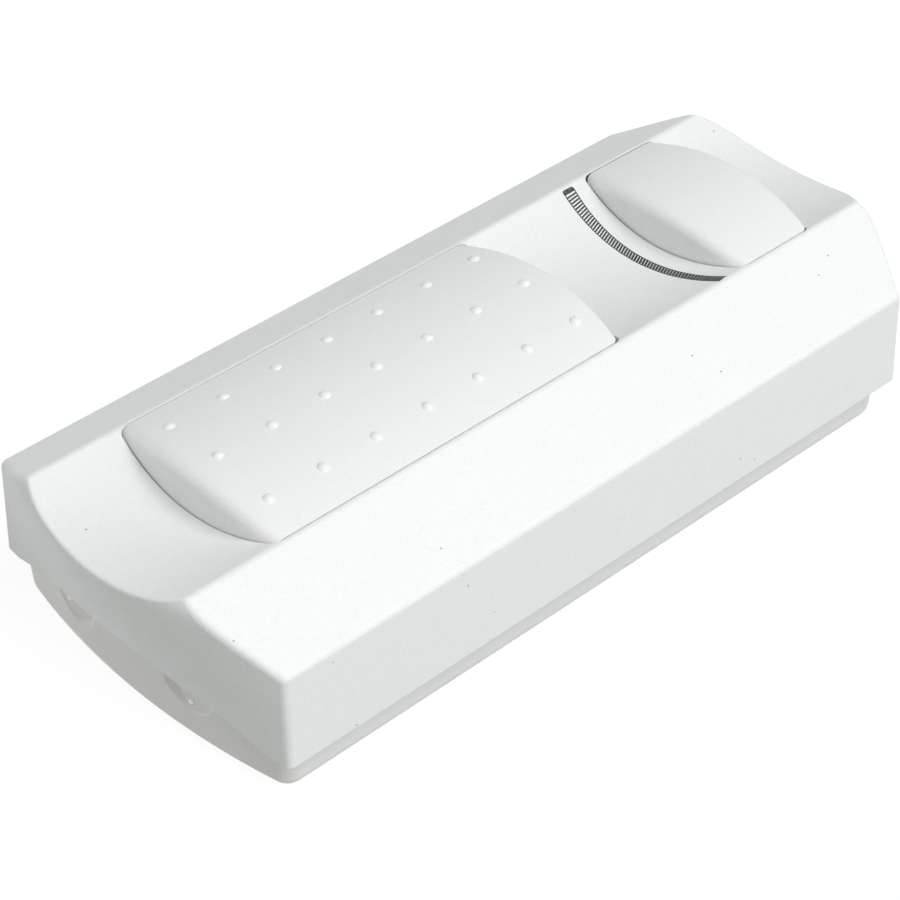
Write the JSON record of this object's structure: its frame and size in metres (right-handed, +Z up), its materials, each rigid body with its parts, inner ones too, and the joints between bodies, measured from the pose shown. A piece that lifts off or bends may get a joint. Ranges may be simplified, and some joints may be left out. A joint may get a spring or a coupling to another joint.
{
  "type": "inline dimmer",
  "caption": "Foot-operated inline lamp dimmer: a long housing with sloping shoulders and a hollow channel that holds a nubbed foot key and a small tilting dimming rocker.",
  "frame": {"origin": "under the middle of the housing, at the height of the floor its pads stand on", "axes": "+X along the housing towards the dimming rocker, +Y across it, +Z up"},
  "size_m": [0.1364, 0.061, 0.0343],
  "materials": {
    "cover_white": "fine spark texture, satin",
    "base_white": "fine spark texture, satin",
    "key_white": "smooth satin with a faint texture",
    "steel": "drawn and ground",
    "zinc_screw": "zinc plated",
    "brass_contact": "stamped, bright",
    "black_plastic": "moulded, matt",
    "cream_plastic": "moulded, satin",
    "board_resin": "phenolic paper board",
    "pad_rubber": "soft, matt",
    "fuse_glass": "clear glass tube with metal caps",
    "sink_aluminium": "mill finish",
    "ferrite": "sintered, dull",
    "copper_wire": "enamelled copper wire",
    "capacitor_yellow": "moulded case",
    "capacitor_green": "dipped",
    "resistor_tan": "lacquered",
    "diac_blue": "glass body"
  },
  "bodies": {
    "housing": {"cover_shell": "cover_white", "base_shell": "base_white", "key_hinge_pin": "steel", "rocker_pivot_pin": "steel", "key_return_spring": "steel", "board_screws": "zinc_screw", "housing_screws": "zinc_screw", "clamp_screws": "zinc_screw", "triac_screw": "zinc_screw", "terminal_screws": "brass_contact", "fuse_clips": "brass_contact", "potentiometer_body": "black_plastic", "push_switch_body": "black_plastic", "circuit_board": "board_resin", "foot_pads": "pad_rubber", "cord_clamp_left": "cream_plastic", "cord_clamp_right": "cream_plastic", "terminal_block": "cream_plastic", "fuse": "fuse_glass", "heat_sink": "sink_aluminium", "triac": "black_plastic", "choke_core": "ferrite", "choke_winding": "copper_wire", "suppression_capacitor": "capacitor_yellow", "timing_capacitor": "capacitor_green", "resistors": "resistor_tan", "diac": "diac_blue"},
    "foot_key": {"foot_key": "key_white"},
    "switch_plunger": {"push_switch_plunger": "cream_plastic"},
    "dimming_rocker": {"dimming_rocker": "key_white"},
    "potentiometer_slider": {"potentiometer_slider": "cream_plastic"}
  },
  "joints": [
    {"name": "key_press", "type": "hinge", "parent": "housing", "child": "foot_key", "pos_m": [-0.046, 0, 0.0215], "axis": [0, 1, 0], "range_deg": [0, 2.5], "stiffness_Nm_per_rad": 1, "springref_deg": -14.32, "deforming": ["key_return_spring"]},
    {"name": "switch_stroke", "type": "slide", "parent": "housing", "child": "switch_plunger", "axis": [0, 0, -1], "range_m": [0, 0.0024]},
    {"name": "rocker_tilt", "type": "hinge", "parent": "housing", "child": "dimming_rocker", "pos_m": [0.047, 0, 0.0223], "axis": [1, 0, 0], "range_deg": [-10, 10]},
    {"name": "slider_travel", "type": "slide", "parent": "housing", "child": "potentiometer_slider", "axis": [0, 1, 0], "range_m": [-0.002, 0.002]}
  ],
  "couplings": [
    {"joint": "switch_stroke", "follows": "key_press", "m_per_rad": 0.049},
    {"joint": "slider_travel", "follows": "rocker_tilt", "m_per_rad": 0.0105}
  ]
}
